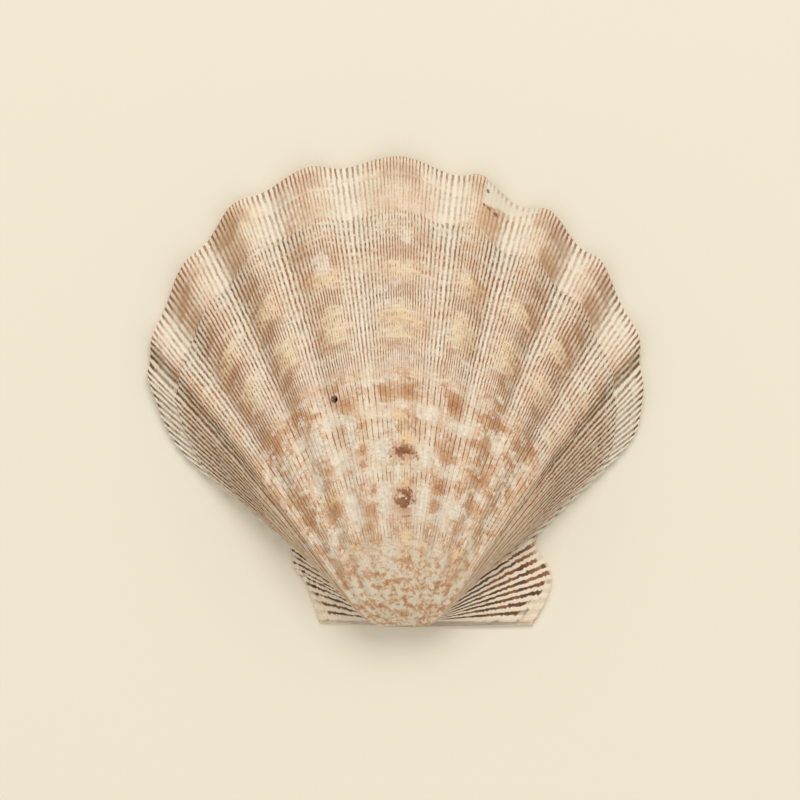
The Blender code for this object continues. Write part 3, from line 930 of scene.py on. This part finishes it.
def inside_colour(bench, tones, ratio, rib):
    """The porcelain hollow: pale, stained near its edge, with the scar where the muscle held."""
    grain = bench.node('ShaderNodeTexCoord', output=3)
    cloud = bench.noise(grain, 60.0, 4.0, 0.6)
    stain = bench.smooth(ratio + 0.1 * (cloud - 0.5), 0.78, 1.0)
    ground = bench.blend(stain * 0.6, tones["inside"], tones["inside_stain"])
    line = bench.between(ratio + 0.03 * (cloud - 0.5), 0.8, 0.815, 0.006)
    scar_x = (rib - 0.9) / 1.9
    scar_y = (ratio - 0.56) / 0.15
    scar = bench.math('SQRT', scar_x * scar_x + scar_y * scar_y)
    ring = bench.between(scar + 0.1 * (cloud - 0.5), 0.93, 1.03, 0.05)
    marks = bench.most(ring, line)
    return bench.blend(marks * 0.35, ground, tones["tan"])


def shell_finish(colours):
    """Finish of the whole valve: striped and worn outside, smooth and pale inside."""
    material = bpy.data.materials.new("scallop_finish")
    material.use_nodes = True
    bench = Bench(material.node_tree)
    material.node_tree.nodes.clear()
    tones = {name: tuple(getattr(colours, name)) for name in ShellColours.__annotations__}

    spot = Spot(bench)
    outer = bench.smooth(bench.attribute("outer"), 0.1, 0.32)
    outside, line = outside_colour(bench, tones, spot)
    inside = inside_colour(bench, tones, spot.ratio, spot.rib)
    surface = bench.blend(outer, inside, outside)
    rough = 0.32 + outer * (0.26 + 0.16 * (spot.fine - 0.5) + 0.1 * line)
    lamellae = bench.math('SINE', spot.ratio * 900.0 + 6.0 * spot.fine)
    height = outer * (spot.fine + 0.25 * lamellae)
    relief = {"Strength": 0.5, "Distance": 0.06 * MM, "Height": height}
    bump = bench.node('ShaderNodeBump', None, relief)
    shader = bench.node(
        'ShaderNodeBsdfPrincipled', None,
        {"Base Color": surface, "Roughness": rough, "Normal": bump, "IOR": 1.5},
    )
    leave = bench.tree.nodes.new('ShaderNodeOutputMaterial')
    bench.tree.links.new(shader.socket, leave.inputs["Surface"])
    return material


def beak_place():
    """Where the beak lies, so that the valve's outline is over the middle of the solid's box."""
    low, high = CAD_BOX
    places = np.array(DISC_EDGE + LEFT_EAR + RIGHT_EAR)
    rib = np.linspace(-LAST_RIB, LAST_RIB, OUTLINE_SAMPLES)
    outline = spline(DISC_EDGE, (rib + LAST_RIB) * 2.0)
    middle_x = (outline[:, 0].min() + outline[:, 0].max()) / 2.0 * MM
    return Vector(((low.x + high.x) / 2.0 - middle_x, high.y - places[:, 1].max() * MM, low.z))


def bore(shell, beak):
    """Cut the snail's bore, and give its new points the facts of the nearest old ones."""
    above = (beak.x + BORE_AT[0] * MM, beak.y + BORE_AT[1] * MM, BORE_SEEN_FROM)
    shell.data.update()
    found, place, square, _ = shell.ray_cast(above, (0.0, 0.0, -1.0))
    if not found:
        raise RuntimeError("The bore's place is not over the valve")
    bpy.ops.mesh.primitive_cone_add(
        vertices=BORE_SIDES, radius1=BORE_NARROW * MM, radius2=BORE_WIDE * MM, depth=BORE_LENGTH * MM,
        location=place - square * (BORE_SUNK * MM), rotation=square.to_track_quat('Z', 'Y').to_euler(),
    )
    cutter = bpy.context.active_object
    old = shell.data
    cut = shell.modifiers.new("bore", 'BOOLEAN')
    cut.operation = 'DIFFERENCE'
    cut.solver = 'EXACT'
    cut.object = cutter
    shell.data = plain_mesh(shell)
    shell.modifiers.clear()
    bpy.data.objects.remove(cutter, do_unlink=True)

    tree = kdtree.KDTree(len(old.vertices))
    for vertex in old.vertices:
        tree.insert(vertex.co, vertex.index)
    tree.balance()
    for vertex in shell.data.vertices:
        place, nearest, distance = tree.find(vertex.co)
        if distance > SAME_POINT:
            for name in Skin.FACTS + ("ratio",):
                value = old.attributes[name].data[nearest].value
                shell.data.attributes[name].data[vertex.index].value = value


def plain_mesh(thing):
    """The object's mesh as its modifiers leave it."""
    depsgraph = bpy.context.evaluated_depsgraph_get()
    return bpy.data.meshes.new_from_object(thing.evaluated_get(depsgraph))


class SHELL_OT_grow_valve(bpy.types.Operator):
    """Grow the valve from its edge and give it its finish"""

    bl_idname = "shell.grow_valve"
    bl_label = "Grow Valve"

    def execute(self, context):
        form = context.scene.shell_form
        beak = beak_place()
        mesh = build_skin(form.rib_height).mesh("valve_shell")
        shell = bpy.data.objects.new("valve_shell", mesh)
        context.scene.collection.objects.link(shell)
        tree = growth_tree()
        sizes = ShellForm.__annotations__
        inputs = {name.replace("_", " ").capitalize(): getattr(form, name) for name in sizes}
        inputs["Beak"] = beak
        inputs["Finish"] = shell_finish(context.scene.shell_colours)
        grow = shell.modifiers.new("growth", 'NODES')
        grow.node_group = tree
        for item in tree.interface.items_tree:
            if item.in_out == 'INPUT' and item.name in inputs:
                grow[item.identifier] = inputs[item.name]
        shell.data = plain_mesh(shell)
        shell.modifiers.clear()
        bore(shell, beak)
        shell.data.shade_smooth()
        shell.data.set_sharp_from_angle(angle=SHARP_ANGLE)
        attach(shell, "root")
        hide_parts("valve")
        return {'FINISHED'}


class SHELL_OT_set_stage(bpy.types.Operator):
    """Make the floor, the light and the camera"""

    bl_idname = "shell.set_stage"
    bl_label = "Set Stage"

    def execute(self, context):
        look = context.scene.stage_look
        beak = beak_place()
        low = CAD_BOX[0]
        bpy.ops.mesh.primitive_plane_add(size=FLOOR_SIZE, location=(0.0, 0.0, low.z - FLOOR_GAP))
        floor = context.active_object
        floor.name = "floor"
        floor.data.materials.append(floor_finish(look.floor))
        floor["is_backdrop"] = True

        world = bpy.data.worlds.new("soft_sky")
        world.use_nodes = True
        sky = world.node_tree.nodes["Background"]
        sky.inputs["Color"].default_value = SKY_TINT
        sky.inputs["Strength"].default_value = look.sky
        context.scene.world = world

        lamp = bpy.data.lights.new("key", 'AREA')
        lamp.shape = 'DISK'
        lamp.size = KEY_SIZE
        lamp.energy = look.key
        lamp.color = KEY_TINT
        key = bpy.data.objects.new("key", lamp)
        key.location = KEY_PLACE
        key.rotation_euler = (-Vector(KEY_PLACE)).to_track_quat('-Z', 'Y').to_euler()
        context.scene.collection.objects.link(key)

        eye = bpy.data.cameras.new("camera")
        eye.lens = LENS
        eye.sensor_width = SENSOR
        camera = bpy.data.objects.new("camera", eye)
        camera.location = (
            beak.x + FRAME_FROM_BEAK[0] * MM,
            beak.y + FRAME_FROM_BEAK[1] * MM,
            low.z + (EDGE_HEIGHT + FRAME_WIDTH * LENS / SENSOR) * MM,
        )
        context.scene.collection.objects.link(camera)
        context.scene.camera = camera
        context.scene.view_settings.view_transform = 'Standard'
        return {'FINISHED'}


def floor_finish(shade):
    material = bpy.data.materials.new("pale_floor")
    material.use_nodes = True
    surface = material.node_tree.nodes["Principled BSDF"]
    surface.inputs["Base Color"].default_value = (*shade, 1.0)
    surface.inputs["Roughness"].default_value = 0.9
    return material


class SHELL_PT_panel(bpy.types.Panel):
    """Lists the valve's sizes, colours and steps."""

    bl_label = "Scallop Valve"
    bl_idname = "SHELL_PT_panel"
    bl_space_type = 'VIEW_3D'
    bl_region_type = 'UI'
    bl_category = "Scallop"

    def draw(self, context):
        for group in (context.scene.shell_form, context.scene.shell_colours, context.scene.stage_look):
            box = self.layout.box()
            for name in group.__annotations__:
                box.prop(group, name)
        self.layout.operator(SHELL_OT_grow_valve.bl_idname)
        self.layout.operator(SHELL_OT_set_stage.bl_idname)


CLASSES = (ShellForm, ShellColours, StageLook, SHELL_OT_grow_valve, SHELL_OT_set_stage, SHELL_PT_panel)


def register():
    for item in CLASSES:
        bpy.utils.register_class(item)
    bpy.types.Scene.shell_form = bpy.props.PointerProperty(type=ShellForm)
    bpy.types.Scene.shell_colours = bpy.props.PointerProperty(type=ShellColours)
    bpy.types.Scene.stage_look = bpy.props.PointerProperty(type=StageLook)


def unregister():
    del bpy.types.Scene.stage_look
    del bpy.types.Scene.shell_colours
    del bpy.types.Scene.shell_form
    for item in reversed(CLASSES):
        bpy.utils.unregister_class(item)


def write_sizes():
    """Gathers the solid's box and the dressed valve's box, and does nothing more with them."""
    boxes = {"cad": CAD_BOX, "visual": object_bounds()}
    boxes = {name: [list(corner) for corner in box] for name, box in boxes.items()}


def main():
    register()
    bpy.ops.shell.set_stage()
    bpy.ops.shell.grow_valve()
    write_sizes()


if __name__ == "__main__":
    main()
